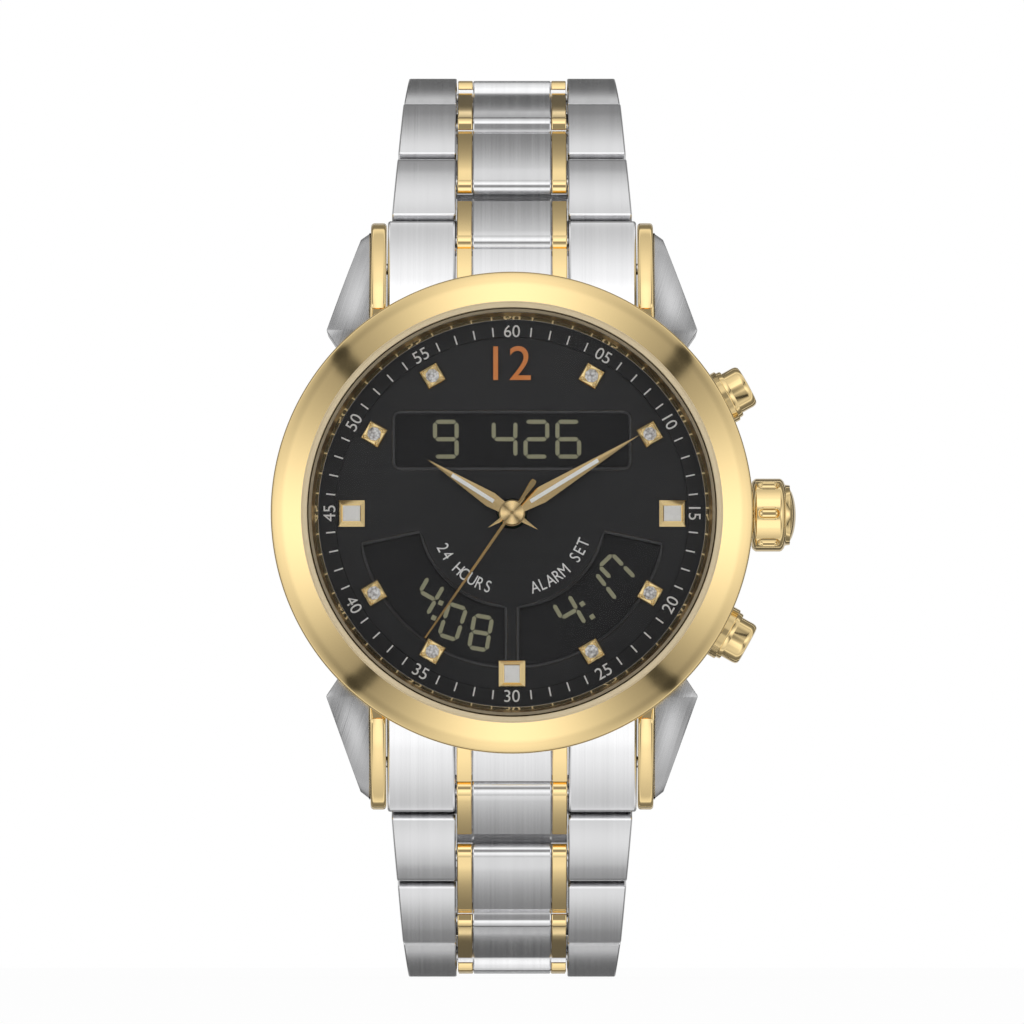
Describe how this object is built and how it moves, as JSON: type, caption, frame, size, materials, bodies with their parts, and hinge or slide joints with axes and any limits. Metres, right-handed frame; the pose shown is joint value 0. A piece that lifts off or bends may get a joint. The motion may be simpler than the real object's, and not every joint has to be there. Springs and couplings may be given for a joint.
{
  "type": "analogue-digital wristwatch",
  "caption": "Two-tone wristwatch with black analogue-digital dial, gilt bezel, crown and pushers, and an articulated steel and gilt bracelet closed by a folding clasp.",
  "frame": {"origin": "centre of the case back's outer face", "axes": "+Z points to 12 o'clock, +X to the crown at 3 o'clock, +Y out of the case back towards the wrist; the dial looks along -Y"},
  "size_m": [0.0458, 0.053, 0.081],
  "materials": {
    "steel": "brushed",
    "gilt": "polished gilt plating",
    "crystal": "clear",
    "gasket": "matt",
    "dial_black": "sunburst black lacquer",
    "stone": "faceted clear",
    "enamel": "white enamel",
    "lcd": "dark liquid crystal panel",
    "moulding": "moulded",
    "board": "circuit board",
    "cell": "cell can",
    "piezo": "thin brass disc"
  },
  "bodies": {
    "case": {"case_middle": "steel", "bezel": "gilt", "crystal": "crystal", "gaskets": "gasket", "case_back": "steel", "lug_bars": "gilt", "end_links": "steel", "end_link_trims": "gilt", "dial": "dial_black", "chapter_ring": "dial_black", "hour_markers": "gilt", "marker_stones": "stone", "marker_inlays": "enamel", "lcd_panel": "lcd", "movement_holder": "moulding", "circuit_board": "board", "battery": "cell", "piezo_disc": "piezo", "case_tubes": "gilt", "pusher_springs": "steel"},
    "hour_hand": {"hour_hand": "gilt"},
    "minute_hand": {"minute_hand": "gilt"},
    "seconds_hand": {"seconds_hand": "gilt"},
    "setting_lever": {"setting_lever": "steel"},
    "crown": {"crown": "gilt"},
    "pusher_upper": {"pusher_upper": "gilt"},
    "pusher_lower": {"pusher_lower": "gilt"},
    "row_12_1": {"link_12_1": "steel", "link_12_1_trim": "gilt"},
    "row_12_2": {"link_12_2": "steel", "link_12_2_trim": "gilt"},
    "row_12_3": {"link_12_3": "steel", "link_12_3_trim": "gilt"},
    "row_12_4": {"link_12_4": "steel", "link_12_4_trim": "gilt"},
    "row_12_5": {"link_12_5": "steel", "link_12_5_trim": "gilt"},
    "row_12_6": {"link_12_6": "steel", "link_12_6_trim": "gilt"},
    "row_12_7": {"link_12_7": "steel", "link_12_7_trim": "gilt"},
    "row_6_1": {"link_6_1": "steel", "link_6_1_trim": "gilt"},
    "row_6_2": {"link_6_2": "steel", "link_6_2_trim": "gilt"},
    "row_6_3": {"link_6_3": "steel", "link_6_3_trim": "gilt"},
    "row_6_4": {"link_6_4": "steel", "link_6_4_trim": "gilt"},
    "row_6_5": {"link_6_5": "steel", "link_6_5_trim": "gilt"},
    "row_6_6": {"link_6_6": "steel", "link_6_6_trim": "gilt"},
    "row_6_7": {"link_6_7": "steel", "link_6_7_trim": "gilt"},
    "inner_blade": {"clasp_inner_blade": "steel"},
    "middle_blade": {"clasp_middle_blade": "steel"},
    "cover": {"clasp_cover": "steel"},
    "button_right": {"clasp_button_right": "steel"},
    "button_left": {"clasp_button_left": "steel"}
  },
  "joints": [
    {"name": "hinge_12_1", "type": "hinge", "parent": "case", "child": "row_12_1", "pos_m": [0, -0.0032, 0.02406], "axis": [1, 0, 0], "range_deg": [0, 5]},
    {"name": "hinge_12_2", "type": "hinge", "parent": "row_12_1", "child": "row_12_2", "pos_m": [0, 0.00246, 0.02972], "axis": [1, 0, 0], "range_deg": [0, 7]},
    {"name": "hinge_12_3", "type": "hinge", "parent": "row_12_2", "child": "row_12_3", "pos_m": [0, 0.00831, 0.03517], "axis": [1, 0, 0], "range_deg": [0, 24]},
    {"name": "hinge_12_4", "type": "hinge", "parent": "row_12_3", "child": "row_12_4", "pos_m": [0, 0.01562, 0.03843], "axis": [1, 0, 0], "range_deg": [0, 32]},
    {"name": "hinge_12_5", "type": "hinge", "parent": "row_12_4", "child": "row_12_5", "pos_m": [0, 0.02361, 0.03801], "axis": [1, 0, 0], "range_deg": [0, 36]},
    {"name": "hinge_12_6", "type": "hinge", "parent": "row_12_5", "child": "row_12_6", "pos_m": [0, 0.03024, 0.03354], "axis": [1, 0, 0], "range_deg": [0, 32]},
    {"name": "hinge_12_7", "type": "hinge", "parent": "row_12_6", "child": "row_12_7", "pos_m": [0, 0.03412, 0.02654], "axis": [1, 0, 0], "range_deg": [0, 15]},
    {"name": "hinge_6_1", "type": "hinge", "parent": "case", "child": "row_6_1", "pos_m": [0, -0.0032, -0.02406], "axis": [-1, 0, 0], "range_deg": [0, 5]},
    {"name": "hinge_6_2", "type": "hinge", "parent": "row_6_1", "child": "row_6_2", "pos_m": [0, 0.00246, -0.02972], "axis": [-1, 0, 0], "range_deg": [0, 7]},
    {"name": "hinge_6_3", "type": "hinge", "parent": "row_6_2", "child": "row_6_3", "pos_m": [0, 0.00831, -0.03517], "axis": [-1, 0, 0], "range_deg": [0, 24]},
    {"name": "hinge_6_4", "type": "hinge", "parent": "row_6_3", "child": "row_6_4", "pos_m": [0, 0.01562, -0.03843], "axis": [-1, 0, 0], "range_deg": [0, 32]},
    {"name": "hinge_6_5", "type": "hinge", "parent": "row_6_4", "child": "row_6_5", "pos_m": [0, 0.02361, -0.03801], "axis": [-1, 0, 0], "range_deg": [0, 36]},
    {"name": "hinge_6_6", "type": "hinge", "parent": "row_6_5", "child": "row_6_6", "pos_m": [0, 0.03024, -0.03354], "axis": [-1, 0, 0], "range_deg": [0, 32]},
    {"name": "hinge_6_7", "type": "hinge", "parent": "row_6_6", "child": "row_6_7", "pos_m": [0, 0.03412, -0.02654], "axis": [-1, 0, 0], "range_deg": [0, 15]},
    {"name": "clasp_pivot", "type": "hinge", "parent": "row_6_7", "child": "inner_blade", "pos_m": [0, 0.03672, -0.01897], "axis": [-1, 0, 0], "range_deg": [0, 15]},
    {"name": "blade_fold", "type": "hinge", "parent": "inner_blade", "child": "middle_blade", "pos_m": [0, 0.03739, 0.01391], "axis": [1, 0, 0], "range_deg": [0, 95]},
    {"name": "cover_fold", "type": "hinge", "parent": "middle_blade", "child": "cover", "pos_m": [0, 0.03787, -0.01403], "axis": [-1, 0, 0], "range_deg": [0, 100]},
    {"name": "button_right_press", "type": "slide", "parent": "cover", "child": "button_right", "axis": [-1, 0, 0], "range_m": [0, 0.0005], "stiffness_N_per_m": 150},
    {"name": "button_left_press", "type": "slide", "parent": "cover", "child": "button_left", "axis": [1, 0, 0], "range_m": [0, 0.0005], "stiffness_N_per_m": 150},
    {"name": "minute_turn", "type": "hinge", "parent": "case", "child": "minute_hand", "pos_m": [0, -0.009, 0], "axis": [0, 1, 0], "continuous": true},
    {"name": "hour_turn", "type": "hinge", "parent": "case", "child": "hour_hand", "pos_m": [0, -0.0085, 0], "axis": [0, 1, 0], "continuous": true},
    {"name": "seconds_turn", "type": "hinge", "parent": "case", "child": "seconds_hand", "pos_m": [0, -0.0094, 0], "axis": [0, 1, 0], "continuous": true},
    {"name": "crown_pull", "type": "slide", "parent": "case", "child": "setting_lever", "axis": [1, 0, 0], "range_m": [0, 0.0012]},
    {"name": "crown_turn", "type": "hinge", "parent": "setting_lever", "child": "crown", "pos_m": [0.022, -0.0049, 0], "axis": [1, 0, 0], "continuous": true},
    {"name": "pusher_upper_press", "type": "slide", "parent": "case", "child": "pusher_upper", "axis": [-0.8746, 0, -0.4848], "range_m": [0, 0.001], "stiffness_N_per_m": 600, "deforming": ["pusher_springs"]},
    {"name": "pusher_lower_press", "type": "slide", "parent": "case", "child": "pusher_lower", "axis": [-0.8746, 0, 0.4848], "range_m": [0, 0.001], "stiffness_N_per_m": 600, "deforming": ["pusher_springs"]}
  ],
  "couplings": [
    {"joint": "hour_turn", "follows": "minute_turn", "ratio": 0.083333},
    {"joint": "seconds_turn", "follows": "minute_turn", "ratio": 60}
  ]
}
